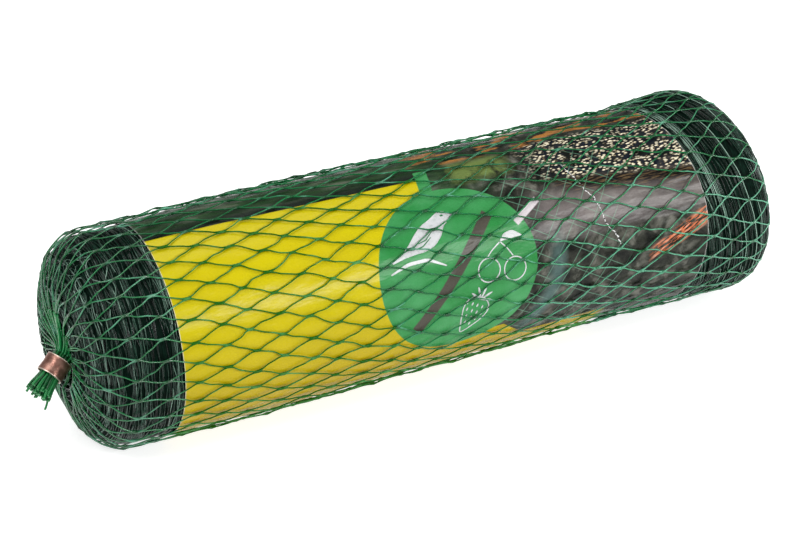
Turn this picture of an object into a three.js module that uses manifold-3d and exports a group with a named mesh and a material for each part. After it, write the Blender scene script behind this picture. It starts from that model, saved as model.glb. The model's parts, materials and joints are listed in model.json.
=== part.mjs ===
// Rolled garden net packed in a tubular net sleeve with a clip on each gathered end.
// Millimetres, +Z up, +X along the roll from the front end to the rear end.
// The origin is under the middle of the pack, on the surface that it lies on.
import * as THREE from 'three';
import { mergeVertices } from 'three/addons/utils/BufferGeometryUtils.js';
import Module from 'manifold-3d';

const wasm = await Module();
wasm.setup();

// ---- Driving dimensions ---------------------------------------------------

const HALF_LENGTH = 171;        // from the middle of the pack to the flat of either end
const AXIS_HEIGHT = 48.4;       // roll axis above the surface, so the soft roll sits on a flat
const SLEEVE_WALL = 1.0;        // one layer of net strands
const LABEL_GAP = 0.3;
const LABEL_WALL = 0.5;
const LABEL_START = -130.5;     // label's front and rear edges along the roll
const LABEL_END = 131;
const LABEL_LAP_ANGLE = 0.35;   // how far the label's glued lap reaches round the roll
const FRONT_CURVE = { x: -149, r: 18, axial: 22, radial: 31 };   // front end's quarter ellipse
const REAR_CURVE = { x: 158, r: 37.8, axial: 13, radial: 14 };   // rear end's tighter one
const WAIST = [                 // radius of the pack between the two end curves
  [-95, 50.3],
  [0, 50],
  [100, 49.2],
  [134, 50.7],
  [REAR_CURVE.x, REAR_CURVE.r + REAR_CURVE.radial],
];
const DIMPLE_DEPTH = 7;         // each end is drawn in round the neck
const DIMPLE_RIM_RADIUS = 18;
const DIMPLE_FLOOR_RADIUS = 11;
const MOUTH_RADIUS = 4.5;       // hole in each end of the sleeve where the neck comes out

const WOUND_HOLE_RADIUS = 4.5;  // the net is wound without a core
const WOUND_TURNS = 6.35;       // counted from the underside, so the free end is high on the rear side
const WOUND_LAP_RADIUS = 46.2;  // where the free end lies on the turn below it
const WOUND_SLIT = 0.5;         // gap between turns

const NECK_OUT = 3.8;           // neck's centre beyond the dimple's floor
const NECK_ASIDE = 4.7;         // and to one side of the roll's axis
const NECK_RISE = 1.1;          // and above it
const NECK_RADIUS = 3.5;
const NECK_DROOP = 37;          // degrees that the gathered end hangs below the roll's axis
const NECK_SIDE = 18;           // degrees that it then leans to the side
const BUNDLE_START = 3.9;       // distances along the gathered end, from the neck's centre
const CLIP_START = 4.4;
const CLIP_LENGTH = 8.5;
const TAIL_END = 24;
const BUNDLE_RADIUS = 4.75;
const TAIL_RADIUS = 6.5;
const CLIP_INNER_RADIUS = 5.05;
const CLIP_WALL = 0.55;
const CLIP_LAP_GAP = 0.12;
const CLIP_LAP_ANGLE = 0.6;

const ROUND_STEPS = 36;         // facets round the roll
const WOUND_STEPS = 24;         // facets for one turn of the wound net
const CURVE_STEPS = 2;          // facets for each stretch of the roll's outline

// ---- Materials --------------------------------------------------------------

function finish(color, roughness, metalness) {
  return new THREE.MeshStandardMaterial({ color, roughness, metalness });
}

const sleeveGreen = finish(0x1b6e3c, 0.45, 0);
const labelPrint = finish(0xd8c416, 0.3, 0);
const woundGreen = finish(0x10281c, 0.55, 0);
const clipCopper = finish(0xb06a4a, 0.35, 0.9);

// ---- Solids -------------------------------------------------------------------

function toSolid(geometry) {
  const bare = geometry.index ? geometry.toNonIndexed() : geometry.clone();
  bare.deleteAttribute('normal');
  bare.deleteAttribute('uv');
  const merged = mergeVertices(bare, 1e-4);
  const vertProperties = new Float32Array(merged.attributes.position.array);
  const triVerts = new Uint32Array(merged.index.array);
  const kept = [];
  for (let i = 0; i < triVerts.length; i += 3) {
    const [a, b, c] = triVerts.subarray(i, i + 3);
    if (a !== b && b !== c && c !== a) kept.push(a, b, c);
  }
  const mesh = new wasm.Mesh({ numProp: 3, vertProperties, triVerts: Uint32Array.from(kept) });
  return new wasm.Manifold(mesh);
}

function toGeometry(solid) {
  const mesh = solid.getMesh();
  const geometry = new THREE.BufferGeometry();
  geometry.setAttribute('position', new THREE.BufferAttribute(mesh.vertProperties, 3));
  geometry.setIndex(new THREE.BufferAttribute(mesh.triVerts, 1));
  geometry.computeVertexNormals();
  return geometry;
}

// Turns an outline of (along, radius) points round the X axis.
function turned(points, steps = ROUND_STEPS) {
  const profile = points.map((p) => new THREE.Vector2(Math.max(p.y, 0), p.x));
  const geometry = new THREE.LatheGeometry(profile, steps);
  geometry.rotateZ(-Math.PI / 2);
  return geometry;
}

function box(x0, x1, y0, y1, z0, z1) {
  const geometry = new THREE.BoxGeometry(x1 - x0, y1 - y0, z1 - z0);
  geometry.translate((x0 + x1) / 2, (y0 + y1) / 2, (z0 + z1) / 2);
  return toSolid(geometry);
}

// The pack's outer form, moved in by inset on every side, about the roll's axis.
function rollForm(inset) {
  const end = HALF_LENGTH - inset;
  const floor = end - DIMPLE_DEPTH;
  const wallMiddle = (DIMPLE_FLOOR_RADIUS + DIMPLE_RIM_RADIUS) / 2;
  const outline = new THREE.Path();
  outline.moveTo(-floor, 0);
  outline.lineTo(-floor, DIMPLE_FLOOR_RADIUS);
  outline.bezierCurveTo(-floor, wallMiddle, -end, wallMiddle, -end, DIMPLE_RIM_RADIUS);
  outline.absellipse(FRONT_CURVE.x, FRONT_CURVE.r, FRONT_CURVE.axial - inset,
    FRONT_CURVE.radial - inset, Math.PI, Math.PI / 2, true);
  outline.splineThru(WAIST.map(([x, r]) => new THREE.Vector2(x, r - inset)));
  outline.absellipse(REAR_CURVE.x, REAR_CURVE.r, REAR_CURVE.axial - inset,
    REAR_CURVE.radial - inset, Math.PI / 2, 0, true);
  outline.lineTo(end, DIMPLE_RIM_RADIUS);
  outline.bezierCurveTo(end, wallMiddle, floor, wallMiddle, floor, DIMPLE_FLOOR_RADIUS);
  outline.lineTo(floor, 0);
  const solid = toSolid(turned(outline.getPoints(CURVE_STEPS)));
  const reach = 2 * HALF_LENGTH;
  const aboveFlat = box(-reach, reach, -reach, reach, inset - AXIS_HEIGHT, reach);
  return solid.intersect(aboveFlat);
}

// A hole through the flat floor of one end's dimple, round that end's neck.
function mouth(facing) {
  const hole = new THREE.CylinderGeometry(MOUTH_RADIUS, MOUTH_RADIUS, 4 * SLEEVE_WALL, 20);
  hole.rotateZ(Math.PI / 2);
  hole.translate(facing * (HALF_LENGTH - DIMPLE_DEPTH), facing * NECK_ASIDE, NECK_RISE);
  return toSolid(hole);
}

function netSleeve() {
  const shell = rollForm(0).subtract(rollForm(SLEEVE_WALL));
  return toGeometry(shell.subtract(mouth(1)).subtract(mouth(-1)));
}

// A printed strip once round the roll, with a slit on the underside where its end laps over.
function labelWrap() {
  const outside = SLEEVE_WALL + LABEL_GAP;
  const reach = 2 * HALF_LENGTH;
  const ring = rollForm(outside).subtract(rollForm(outside + LABEL_WALL));
  const band = ring.intersect(box(LABEL_START, LABEL_END, -reach, reach, -reach, reach));
  const slit = box(-reach, reach, 0, LABEL_GAP, -reach, 0);
  const turn = new THREE.Matrix4().makeRotationX(LABEL_LAP_ANGLE);
  return toGeometry(band.subtract(slit.transform(turn.elements)));
}

// The folded garden net, wound up as one long strip.
function woundNet() {
  const inset = SLEEVE_WALL + LABEL_GAP + LABEL_WALL + LABEL_GAP;
  const pitch = (WOUND_LAP_RADIUS - WOUND_HOLE_RADIUS) / WOUND_TURNS;
  const thickness = pitch - WOUND_SLIT;
  const steps = Math.round(WOUND_TURNS * WOUND_STEPS);
  const walls = [[], []];
  for (let i = 0; i <= steps; i += 1) {
    const angle = (i / WOUND_STEPS) * 2 * Math.PI;
    const inner = WOUND_HOLE_RADIUS + (i / WOUND_STEPS) * pitch;
    walls[0].push(new THREE.Vector2(inner * Math.cos(angle), inner * Math.sin(angle)));
    const outer = inner + thickness;
    walls[1].push(new THREE.Vector2(outer * Math.cos(angle), outer * Math.sin(angle)));
  }
  const outline = new THREE.Shape([...walls[0], ...walls[1].reverse()]);
  const strip = new THREE.ExtrudeGeometry(outline, { depth: 4 * HALF_LENGTH, bevelEnabled: false });
  strip.translate(0, 0, -2 * HALF_LENGTH);
  strip.rotateY(Math.PI / 2);
  return toGeometry(rollForm(inset).intersect(toSolid(strip)));
}

// The strands drawn together into a knuckle, which is what lets the gathered end flop.
function neck() {
  const arc = new THREE.EllipseCurve(0, 0, NECK_RADIUS, NECK_RADIUS, Math.PI, 0, true);
  return turned(arc.getPoints(9), 16);
}

// A metal strip bent once round the bundle, with its end lapped over its start.
function clip() {
  const growth = (CLIP_WALL + CLIP_LAP_GAP) / (2 * Math.PI);
  const sweep = 2 * Math.PI + CLIP_LAP_ANGLE;
  const steps = 28;
  const inner = [];
  const outer = [];
  for (let i = 0; i <= steps; i += 1) {
    const angle = (i / steps) * sweep;
    const radius = CLIP_INNER_RADIUS + growth * angle;
    inner.push(new THREE.Vector2(radius * Math.cos(angle), radius * Math.sin(angle)));
    const far = radius + CLIP_WALL;
    outer.push(new THREE.Vector2(far * Math.cos(angle), far * Math.sin(angle)));
  }
  const outline = new THREE.Shape([...inner, ...outer.reverse()]);
  const band = new THREE.ExtrudeGeometry(outline, { depth: CLIP_LENGTH, bevelEnabled: false });
  band.rotateY(Math.PI / 2);
  band.translate(CLIP_START, 0, 0);
  return band;
}

// The bundle of strands inside the clip, and the brush of cut ends beyond it.
function tail() {
  const clipEnd = CLIP_START + CLIP_LENGTH;
  const outline = new THREE.Path();
  outline.moveTo(BUNDLE_START, 0);
  outline.lineTo(BUNDLE_START, BUNDLE_RADIUS - 0.8);
  outline.lineTo(CLIP_START - 0.2, BUNDLE_RADIUS);
  outline.lineTo(clipEnd + 0.8, BUNDLE_RADIUS);
  outline.quadraticCurveTo(clipEnd + 3, BUNDLE_RADIUS, TAIL_END - 3, TAIL_RADIUS);
  outline.lineTo(TAIL_END - 0.6, TAIL_RADIUS - 0.6);
  outline.lineTo(TAIL_END, 0);
  return turned(outline.getPoints(3), 18);
}

// ---- Assembly -------------------------------------------------------------------

const pack = new THREE.Group();

function add(parent, name, geometry, material) {
  const mesh = new THREE.Mesh(geometry, material);
  mesh.name = name;
  parent.add(mesh);
}

const roll = new THREE.Group();
roll.position.z = AXIS_HEIGHT;
add(roll, 'net_sleeve', netSleeve(), sleeveGreen);
add(roll, 'label_wrap', labelWrap(), labelPrint);
add(roll, 'wound_net', woundNet(), woundGreen);
pack.add(roll);

// Each gathered end points outward, droops and leans; the rear one is the front one turned round.
for (const [end, turn] of [['front', Math.PI], ['rear', 0]]) {
  const facing = new THREE.Group();
  facing.position.z = AXIS_HEIGHT;
  facing.rotation.z = turn;
  const drooped = new THREE.Group();
  drooped.position.set(HALF_LENGTH - DIMPLE_DEPTH + NECK_OUT, NECK_ASIDE, NECK_RISE);
  drooped.rotation.y = THREE.MathUtils.degToRad(NECK_DROOP);
  const leaning = new THREE.Group();
  leaning.rotation.z = THREE.MathUtils.degToRad(NECK_SIDE);
  add(leaning, `${end}_neck`, neck(), sleeveGreen);
  add(leaning, `${end}_clip`, clip(), clipCopper);
  add(leaning, `${end}_tail`, tail(), sleeveGreen);
  drooped.add(leaning);
  facing.add(drooped);
  pack.add(facing);
}

export default pack;
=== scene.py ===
"""Looks of a roll of garden netting packed in a diamond-mesh net bag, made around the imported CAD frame.

Lengths are millimetres until a mesh is made, and the frame's directions hold: +X runs along the roll
from the front gathered end to the rear one, +Z is up. An angle round the roll is 0 on the -Y side and
a quarter turn on top.
"""

import json
import math

import bmesh
import bpy
import numpy as np
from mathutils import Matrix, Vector


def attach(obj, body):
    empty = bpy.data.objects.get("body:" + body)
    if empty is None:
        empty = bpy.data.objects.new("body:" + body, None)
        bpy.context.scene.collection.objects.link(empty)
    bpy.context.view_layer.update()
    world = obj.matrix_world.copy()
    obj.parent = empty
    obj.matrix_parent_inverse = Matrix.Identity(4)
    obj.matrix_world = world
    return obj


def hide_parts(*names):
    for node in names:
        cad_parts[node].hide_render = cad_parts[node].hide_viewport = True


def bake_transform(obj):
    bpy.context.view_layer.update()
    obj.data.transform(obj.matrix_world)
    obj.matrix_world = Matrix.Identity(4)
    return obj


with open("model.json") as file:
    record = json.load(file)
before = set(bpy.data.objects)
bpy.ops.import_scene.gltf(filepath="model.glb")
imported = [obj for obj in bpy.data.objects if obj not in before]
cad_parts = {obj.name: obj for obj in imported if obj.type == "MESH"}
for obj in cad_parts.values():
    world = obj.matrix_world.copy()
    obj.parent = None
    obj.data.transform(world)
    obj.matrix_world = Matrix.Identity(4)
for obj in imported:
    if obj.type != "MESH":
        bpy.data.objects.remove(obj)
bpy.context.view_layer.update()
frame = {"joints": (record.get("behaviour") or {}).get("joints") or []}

MM = 0.001

# ---- Sizes, repeated from the CAD part or read from its frame ---------------------------------------

joints = {joint["name"]: joint for joint in frame["joints"]}
NECK_CENTRE = np.array(joints["rear_neck_bend"]["pos_m"]) / MM
AXIS_HEIGHT = 48.4
HALF_LENGTH = 171
FRONT_CURVE = {"x": -149, "r": 18, "axial": 22, "radial": 31}
REAR_CURVE = {"x": 158, "r": 37.8, "axial": 13, "radial": 14}
WAIST = [[-149, 49], [-95, 50.3], [0, 50], [100, 49.2], [134, 50.7], [158, 51.8]]
DIMPLE_DEPTH = 7
DIMPLE_RIM_RADIUS = 18
DIMPLE_FLOOR_RADIUS = 11
NECK_DROOP = math.radians(37)
NECK_SIDE = math.radians(18)
CLIP_START = 4.4
CLIP_LENGTH = 8.5
CLIP_INNER_RADIUS = 5.05
CLIP_WALL = 0.55
TAIL_END = 24
LABEL_START = -130.5

# ---- Net of the sleeve ------------------------------------------------------------------------------

CELLS = 36                      # net cells round the bag, so twice as many strands
HALF_CELL = math.pi / CELLS     # angle that a strand turns from one knot to the next
STRAND_RADIUS = 0.39
STRAND_INSET = 0.55             # strand's middle below the pack's outer form
KNOT_PULL = (0.20, 0.24)        # how nearly the strands run along the roll where they meet
STEPS_PER_CELL = 12
KNOT_COLUMN = -84.3             # a column of knots lies here
GATHER_RADIUS = 18.3            # where the strands leave the roll's end for the neck
BUNDLE_START = 2.4              # distances along the gathered end, from the neck's centre
BUNDLE_RADIUS = 4.35

LABEL_INSET = 1.3
WOUND_INSET = 2.1
THREAD_RADIUS = 0.20
THREAD_POINTS = 46


# ---- Small helpers ----------------------------------------------------------------------------------

def smooth(a, b, v):
    """0 before a, 1 after b, and a smooth step between them."""
    t = np.clip((v - a) / (b - a), 0, 1)
    return t * t * (3 - 2 * t)


def bump(v, middle, width):
    return np.exp(-(((v - middle) / width) ** 2))


def unit(v):
    return v / np.linalg.norm(v, axis=-1, keepdims=True)


def ripple(a, b, seed, waves=7, longest=1.0):
    """Smooth noise from about -1 to 1 over two coordinates, made of waves up to longest units long."""
    source = np.random.default_rng(seed)
    total = 0
    for _ in range(waves):
        direction = source.uniform(0, 2 * math.pi)
        length = longest * source.uniform(0.35, 1)
        phase = source.uniform(0, 2 * math.pi)
        across = a * math.cos(direction) + b * math.sin(direction)
        total = total + np.sin(2 * math.pi * across / length + phase)
    return total / math.sqrt(2 * waves)


# ---- The pack's outer form --------------------------------------------------------------------------

def bezier(p0, p1, p2, p3, steps=40):
    t = np.linspace(0, 1, steps)[:, None]
    p0, p1, p2, p3 = map(np.array, (p0, p1, p2, p3))
    return p0 * (1 - t) ** 3 + 3 * p1 * t * (1 - t) ** 2 + 3 * p2 * t * t * (1 - t) + p3 * t ** 3


def quarter(curve, start, end, steps=60):
    a = np.linspace(start, end, steps)
    return np.stack([curve["x"] + curve["axial"] * np.cos(a), curve["r"] + curve["radial"] * np.sin(a)], 1)


def waist(steps=400):
    """The long side between the two end curves, rounded where its straight stretches meet."""
    x = np.linspace(WAIST[0][0], WAIST[-1][0], steps)
    knots = np.array(WAIST, float)
    reach = 9
    near = [np.interp(x + shift, knots[:, 0], knots[:, 1]) for shift in np.linspace(-reach, reach, 13)]
    return np.stack([x, np.mean(near, 0)], 1)


def outline():
    """Points (along the roll, radius) from the middle of the front dimple to the middle of the rear one."""
    end = HALF_LENGTH
    floor = end - DIMPLE_DEPTH
    middle = (DIMPLE_FLOOR_RADIUS + DIMPLE_RIM_RADIUS) / 2
    rim = DIMPLE_RIM_RADIUS
    bottom = DIMPLE_FLOOR_RADIUS
    front_dimple = bezier((-floor, bottom), (-floor, middle), (-end, middle), (-end, rim))
    rear_dimple = bezier((end, rim), (end, middle), (floor, middle), (floor, bottom))
    return np.vstack([
        [(-floor, 0.5)],
        front_dimple,
        quarter(FRONT_CURVE, math.pi, math.pi / 2)[1:],
        waist()[1:-1],
        quarter(REAR_CURVE, math.pi / 2, 0),
        rear_dimple,
        [(floor, 0.5)],
    ])


def resampled(points, step=0.5):
    lengths = np.append(0, np.cumsum(np.linalg.norm(np.diff(points, axis=0), axis=1)))
    even = np.arange(0, lengths[-1], step)
    return even, np.stack([np.interp(even, lengths, points[:, i]) for i in (0, 1)], 1)


ALONG, LINE = resampled(outline())
tangents = unit(np.gradient(LINE, axis=0))
NORMALS = np.stack([-tangents[:, 1], tangents[:, 0]], 1)
END_FACE = slice(0, 90)         # points of the outline from an end's middle outwards
SIDE = (LINE[:, 1] > 48.5) & (np.abs(LINE[:, 0] - 4.5) < 153.5)


def along_at(x):
    """Distance along the outline of the point at x on the roll's long side."""
    return np.interp(x, LINE[SIDE, 0], ALONG[SIDE])


def settled(x, y, z, inset):
    """Gives the roll its slack: a slewed rear end, a hump and a hollow on top, and the flat it lies on."""
    rear = smooth(94, 150, x)
    slewed = x - rear * (0.053 * z + 0.10 * y) + 2.8 * smooth(146, 170, x)
    crown = smooth(8, 44, z)
    swell = 1 + crown * (0.2 * bump(slewed, 151, 11) - 1.7 * bump(slewed, 119, 15)) / 50
    y = y * swell
    z = np.maximum(z * swell, np.maximum(inset, 0.5) - AXIS_HEIGHT)
    return np.stack(np.broadcast_arrays(slewed, y, z + AXIS_HEIGHT), -1)


def surface(along, angle, inset):
    """Points of the pack, inset below its outer form."""
    x = np.interp(along, ALONG, LINE[:, 0]) - inset * np.interp(along, ALONG, NORMALS[:, 0])
    r = np.interp(along, ALONG, LINE[:, 1]) - inset * np.interp(along, ALONG, NORMALS[:, 1])
    return settled(x, -r * np.cos(angle), r * np.sin(angle), inset)


# ---- Meshes -----------------------------------------------------------------------------------------

def make_object(name, points, groups, material, values=None):
    """A smooth-shaded mesh from points in millimetres and arrays of faces, of three or four corners each."""
    mesh = bpy.data.meshes.new(name)
    corners = np.concatenate([faces.ravel() for faces in groups])
    sizes = np.concatenate([np.full(len(faces), faces.shape[1]) for faces in groups])
    mesh.vertices.add(len(points))
    mesh.vertices.foreach_set("co", (points * MM).astype(np.float32).ravel())
    mesh.loops.add(len(corners))
    mesh.loops.foreach_set("vertex_index", corners.astype(np.int32))
    mesh.polygons.add(len(sizes))
    mesh.polygons.foreach_set("loop_start", np.append(0, np.cumsum(sizes)[:-1]).astype(np.int32))
    mesh.update(calc_edges=True)
    for key, value in (values or {}).items():
        attribute = mesh.attributes.new(key, "FLOAT", "POINT")
        attribute.data.foreach_set("value", np.asarray(value, np.float32).ravel())
    mesh.polygons.foreach_set("use_smooth", np.ones(len(sizes), bool))
    mesh.materials.append(material)
    piece = bpy.data.objects.new(name, mesh)
    bpy.context.scene.collection.objects.link(piece)
    return piece


def tube_frames(paths):
    """Two directions across each path, carried along it without twisting."""
    tangent = unit(np.gradient(paths, axis=1))
    across = np.empty_like(paths)
    start = np.where(np.abs(tangent[:, :1, 2:]) < 0.9, [[[0, 0, 1.0]]], [[[0, 1.0, 0]]])[:, 0]
    for i in range(paths.shape[1]):
        t = tangent[:, i]
        start = unit(start - t * np.sum(start * t, 1, keepdims=True))
        across[:, i] = start
    return across, np.cross(tangent, across)


def tubes(name, paths, radius, material, sides=6, values=None):
    """Closed round strands along paths of shape (strands, points, 3)."""
    count, length = paths.shape[:2]
    first, second = tube_frames(paths)
    turn = np.arange(sides) / sides * 2 * math.pi
    radius = np.broadcast_to(radius, (count, length))[:, :, None, None]
    ring = first[:, :, None] * np.cos(turn)[:, None] + second[:, :, None] * np.sin(turn)[:, None]
    points = paths[:, :, None] + radius * ring
    index = np.arange(count * length * sides).reshape(count, length, sides)
    after = np.roll(index, -1, axis=2)
    walls = np.stack([index[:, :-1], after[:, :-1], after[:, 1:], index[:, 1:]], -1).reshape(-1, 4)
    tips = paths[:, [0, -1]].reshape(-1, 3)
    tip_index = count * length * sides + np.arange(2 * count).reshape(count, 2)
    spread = np.broadcast_to(tip_index[:, :, None], (count, 2, sides))
    near = np.stack([after[:, 0], index[:, 0], spread[:, 0]], -1).reshape(-1, 3)
    far = np.stack([index[:, -1], after[:, -1], spread[:, 1]], -1).reshape(-1, 3)
    points = np.vstack([points.reshape(-1, 3), tips])
    full = {}
    for key, value in (values or {}).items():
        value = np.broadcast_to(value, (count, length))
        full[key] = np.append(np.repeat(value.ravel(), sides), value[:, [0, -1]].ravel())
    return make_object(name, points, [walls, near, far], material, full)


def sheet_faces(rows, columns, wrap=False):
    index = np.arange(rows * columns).reshape(rows, columns)
    ahead = np.roll(index, -1, axis=1) if wrap else index[:, 1:]
    here = index if wrap else index[:, :-1]
    return np.stack([here[:-1], here[1:], ahead[1:], ahead[:-1]], -1).reshape(-1, 4)


def film_faces(rows, columns):
    """Faces of a closed film, whose points are a grid on its outside and then the same grid on its inside."""
    count = rows * columns
    grid = sheet_faces(rows, columns)
    index = np.arange(count).reshape(rows, columns)
    rim = np.concatenate([index[0, :-1], index[:-1, -1], index[-1, :0:-1], index[:0:-1, 0]])
    after = np.roll(rim, -1)
    walls = np.stack([rim, after, after + count, rim + count], 1)
    return np.vstack([grid, grid[:, ::-1] + count, walls[:, ::-1]])


# ---- Material nodes ---------------------------------------------------------------------------------

class Paint:
    """A node material with short calls for the nodes that the surfaces here need."""

    def __init__(self, name, **shader_values):
        self.material = bpy.data.materials.new(name)
        self.material.use_nodes = True
        self.tree = self.material.node_tree
        self.shader = self.tree.nodes["Principled BSDF"]
        for socket, value in shader_values.items():
            self.shader.inputs[socket.replace("_", " ")].default_value = value

    def node(self, kind, inputs=(), **settings):
        made = self.tree.nodes.new("ShaderNode" + kind)
        for key, value in settings.items():
            setattr(made, key, value)
        for key, value in dict(inputs).items():
            self.feed(made.inputs[key], value)
        return made

    def feed(self, socket, value):
        if isinstance(value, bpy.types.NodeSocket):
            self.tree.links.new(value, socket)
        elif isinstance(value, (tuple, list)) and len(value) == 3 and socket.type == "RGBA":
            socket.default_value = (*value, 1)
        else:
            socket.default_value = value

    def math(self, operation, a, b=0.0, c=0.0):
        return self.node("Math", {0: a, 1: b, 2: c}, operation=operation).outputs[0]

    def step(self, value, edge, softness):
        """0 below edge and 1 above it, over softness."""
        moved = self.math("SUBTRACT", value, edge)
        made = self.node("Math", {0: moved, 1: 1 / softness, 2: 0.5}, operation="MULTIPLY_ADD",
                         use_clamp=True)
        return made.outputs[0]

    def both(self, a, b):
        return self.math("MULTIPLY", a, b)

    def mix(self, share, a, b):
        made = self.node("Mix", data_type="RGBA")
        self.feed(made.inputs[0], share)
        self.feed(made.inputs[6], a)
        self.feed(made.inputs[7], b)
        return made.outputs[2]

    def attribute(self, name):
        return self.node("Attribute", attribute_name=name).outputs["Fac"]

    def place(self, scale=(1, 1, 1)):
        """Object coordinates in millimetres, stretched by scale."""
        spot = self.node("TexCoord").outputs["Object"]
        sized = tuple(value / MM for value in scale)
        return self.node("VectorMath", {0: spot, 1: sized}, operation="MULTIPLY").outputs[0]

    def noise(self, where, scale, detail=3.0, roughness=0.55, distortion=0.0):
        values = {"Vector": where, "Scale": scale, "Detail": detail, "Roughness": roughness,
                  "Distortion": distortion}
        return self.node("TexNoise", values).outputs["Fac"]

    def ramp(self, value, stops):
        made = self.node("ValToRGB", {0: value})
        elements = made.color_ramp.elements
        while len(elements) < len(stops):
            elements.new(0.5)
        for element, (position, colour) in zip(elements, stops):
            element.position = position
            element.color = (*colour, 1)
        return made.outputs["Color"]

    def level(self, value, low, high):
        """value from 0 to 1, moved to run from low to high."""
        return self.node("MapRange", {"Value": value, "To Min": low, "To Max": high}).outputs[0]

    def flat_place(self, x, y):
        return self.node("CombineXYZ", {0: x, 1: y}).outputs[0]

    def finish(self, colour=None, roughness=None, height=None, strength=0.3, distance=0.0002):
        if colour is not None:
            self.feed(self.shader.inputs["Base Color"], colour)
        if roughness is not None:
            self.feed(self.shader.inputs["Roughness"], roughness)
        if height is not None:
            made = self.node("Bump", {"Height": height, "Strength": strength, "Distance": distance})
            self.feed(self.shader.inputs["Normal"], made.outputs[0])
        return self.material


def net_material():
    """Green extruded polyethylene: satin, paler where it is thin and stretched, drawn along its length, with
    a painted pale highlight in patches that gather on the front of the label's right half.
    """
    paint = Paint("net_strand_green", IOR=1.5, Specular_IOR_Level=0.42)
    where = paint.place()
    tone = paint.attribute("tone")
    fresh = paint.attribute("fresh")
    deep = paint.mix(tone, (0.0008, 0.040, 0.010), (0.0035, 0.150, 0.042))
    bright = paint.mix(tone, (0.0015, 0.085, 0.018), (0.006, 0.240, 0.055))
    body = paint.mix(fresh, deep, bright)
    # Painted highlight: a pale mint colour in noise patches, with more of it where the pale attribute marks
    # the front of the strands over the label's right half.
    highlight_patches = paint.noise(where, 0.12, 3.0)
    painted_highlight = paint.math("ADD", highlight_patches, paint.math("MULTIPLY", paint.attribute("pale"), 0.24))
    colour = paint.mix(paint.step(painted_highlight, 0.62, 0.2), body, (0.080, 0.29, 0.175))
    # Over the yellow panel the strands are painted with the yellow light of the print shining through them,
    # and with a yellower painted highlight; they also look duller over the print.
    yellow = paint.attribute("over_yellow")
    painted_through_light = paint.mix(paint.step(painted_highlight, 0.62, 0.3), (0.011, 0.098, 0.0006), (0.070, 0.255, 0.060))
    colour = paint.mix(paint.both(yellow, 0.85), colour, painted_through_light)
    paint.feed(paint.shader.inputs["Specular IOR Level"], paint.level(paint.attribute("dulled"), 0.60, 0.10))
    roughness = paint.level(paint.noise(where, 0.9, 3.0), 0.12, 0.32)
    drawn = paint.noise(paint.place((0.25, 1, 1)), 3.2, 3.0)
    return paint.finish(colour, roughness, drawn, 0.25, 0.00015)


def tail_material():
    """Cut strands beyond the clip: fresher green, with dull pale cut faces."""
    paint = Paint("net_tail_green", IOR=1.5, Specular_IOR_Level=0.35)
    where = paint.place()
    tone = paint.attribute("tone")
    cut = paint.attribute("cut")
    body = paint.mix(tone, (0.0010, 0.022, 0.007), (0.006, 0.190, 0.042))
    colour = paint.mix(paint.step(cut, 0.5, 0.2), body, (0.06, 0.28, 0.10))
    roughness = paint.level(paint.noise(where, 1.1, 3.0), 0.25, 0.5)
    return paint.finish(colour, roughness, paint.noise(where, 2.5, 3.0), 0.25, 0.00015)


def thread_material():
    """Fine dark green garden-net thread with a satin sheen, a painted pale highlight on the palest threads,
    and painted light and shade in bands.
    """
    paint = Paint("wound_thread_green", IOR=1.5, Specular_IOR_Level=0.5)
    where = paint.place()
    tone = paint.attribute("tone")
    body = paint.mix(tone, (0.0004, 0.0025, 0.0015), (0.010, 0.065, 0.036))
    # Painted highlight: threads of the highest tone take a pale grey-green highlight colour.
    pale = paint.mix(paint.step(tone, 0.82, 0.24), body, (0.25, 0.39, 0.31))
    roughness = paint.level(paint.noise(where, 0.8, 3.0), 0.20, 0.36)
    return paint.finish(pale, roughness, paint.noise(where, 3.0, 2.0), 0.2, 0.0001)


def wound_material():
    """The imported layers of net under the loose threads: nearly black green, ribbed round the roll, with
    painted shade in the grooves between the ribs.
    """
    paint = Paint("wound_layers_green", IOR=1.5, Specular_IOR_Level=0.03)
    along = paint.attribute("along")
    turn = paint.attribute("turn")
    where = paint.flat_place(along, paint.math("MULTIPLY", turn, 6.0))
    ribs = paint.noise(where, 1.7, 4.0, 0.6, 0.6)
    # Painted shade: the grooves between the ribs, where the noise is low, are darker, down to nearly black.
    colour = paint.ramp(ribs, [(0.35, (0.0004, 0.002, 0.0012)), (0.62, (0.002, 0.012, 0.007)),
                               (0.8, (0.008, 0.035, 0.022))])
    roughness = paint.level(paint.noise(where, 0.5, 2.0), 0.4, 0.65)
    return paint.finish(colour, roughness, ribs, 0.9, 0.0006)


def copper_material():
    """Copper-coloured lacquered strip, rubbed bright on its edges and dulled by handling."""
    paint = Paint("clip_copper", Metallic=0.85, IOR=1.6)
    where = paint.place()
    edge = paint.attribute("edge")
    dull = paint.noise(where, 0.35, 4.0, 0.6)
    lacquer = paint.ramp(dull, [(0.3, (0.22, 0.095, 0.070)), (0.55, (0.38, 0.20, 0.155)),
                                (0.8, (0.50, 0.30, 0.24))])
    colour = paint.mix(edge, lacquer, (0.92, 0.78, 0.66))
    scratch = paint.noise(paint.place((0.5, 3, 3)), 1.4, 4.0, 0.7)
    roughness = paint.level(scratch, 0.24, 0.5)
    return paint.finish(colour, roughness, scratch, 0.22, 0.00012)


# ---- Camera, floor and lights -----------------------------------------------------------------------

VIEW_AZIMUTH = math.radians(-27.96)
VIEW_ELEVATION = math.radians(28.43)
VIEW_DISTANCE = 1.1084
VIEW_TARGET = Vector((-1.7, 0, 46.7)) * MM
VIEW_LENS = 107.6
FLOOR_REACH = 3000.0


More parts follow.
